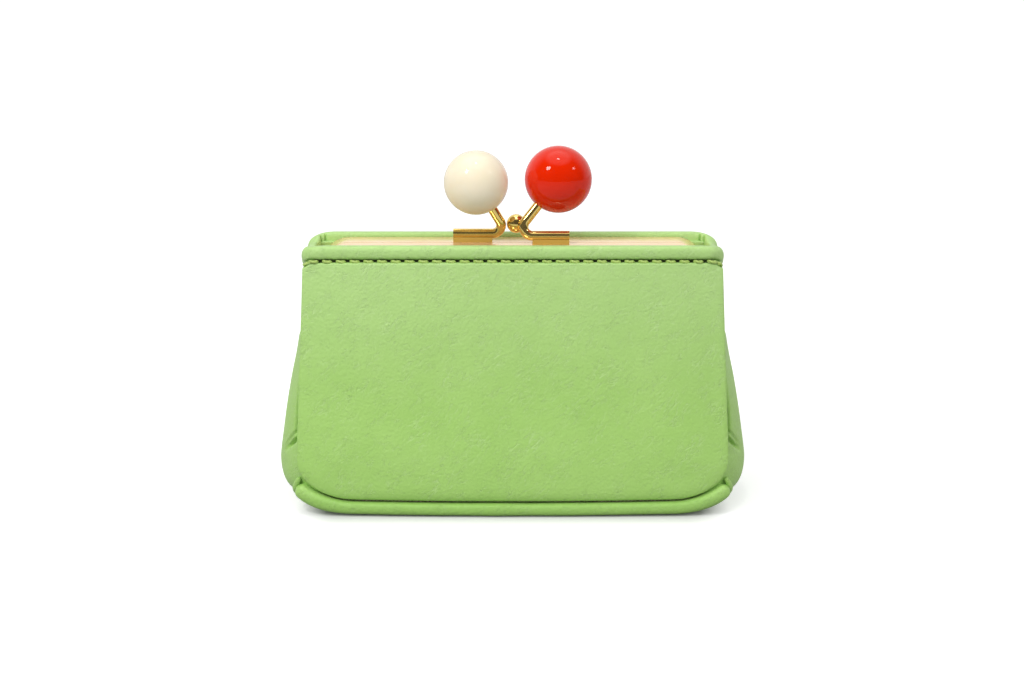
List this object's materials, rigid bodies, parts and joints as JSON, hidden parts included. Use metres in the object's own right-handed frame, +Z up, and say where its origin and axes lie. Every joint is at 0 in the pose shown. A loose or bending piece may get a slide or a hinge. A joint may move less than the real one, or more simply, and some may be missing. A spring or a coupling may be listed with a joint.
{
  "type": "kiss lock frame purse",
  "caption": "Small boxy leather purse with a hidden metal frame, rolled rims and a kiss lock of two bent rods with round beads; both frame halves swing open.",
  "frame": {"origin": "middle of the base on the surface that the purse stands on", "axes": "+X to the purse's right as its front is seen, +Y to the back, +Z up"},
  "size_m": [0.14, 0.0502, 0.1046],
  "materials": {
    "green_leather": "fine crinkled apple green leather, soft sheen",
    "gold_metal": "polished gold plate",
    "stiffener_board": "plain fibre board",
    "lining_cloth": "plain twill lining",
    "filler_cord": "soft cotton cord",
    "red_bead": "polished orange red resin",
    "ivory_bead": "polished ivory resin"
  },
  "bodies": {
    "bag": {"base_panel": "green_leather", "front_panel": "green_leather", "back_panel": "green_leather", "left_gusset": "green_leather", "right_gusset": "green_leather", "left_hinge_rivet": "gold_metal", "right_hinge_rivet": "gold_metal", "left_hinge_washer": "gold_metal", "right_hinge_washer": "gold_metal", "front_lower_board": "stiffener_board", "back_lower_board": "stiffener_board", "base_board": "stiffener_board", "front_lining": "lining_cloth", "back_lining": "lining_cloth", "left_gusset_lining": "lining_cloth", "right_gusset_lining": "lining_cloth", "base_lining": "lining_cloth"},
    "front_half": {"front_frame": "gold_metal", "front_rim": "green_leather", "front_rim_cord": "filler_cord", "front_upper_board": "stiffener_board", "front_left_side_strip": "green_leather", "front_right_side_strip": "green_leather", "front_clasp_arm": "gold_metal", "front_clasp_saddle": "gold_metal", "red_bead": "red_bead", "catch_ball": "gold_metal"},
    "back_half": {"back_frame": "gold_metal", "back_rim": "green_leather", "back_rim_cord": "filler_cord", "back_upper_board": "stiffener_board", "back_left_side_strip": "green_leather", "back_right_side_strip": "green_leather", "back_clasp_arm": "gold_metal", "back_clasp_saddle": "gold_metal", "cream_bead": "ivory_bead"}
  },
  "joints": [
    {"name": "front_open", "type": "hinge", "parent": "bag", "child": "front_half", "pos_m": [0, 0, 0.045], "axis": [1, 0, 0], "range_deg": [0, 35], "deforming": ["front_panel", "front_lining"]},
    {"name": "back_open", "type": "hinge", "parent": "bag", "child": "back_half", "pos_m": [0, 0, 0.045], "axis": [-1, 0, 0], "range_deg": [0, 35], "deforming": ["back_panel", "back_lining"]}
  ]
}
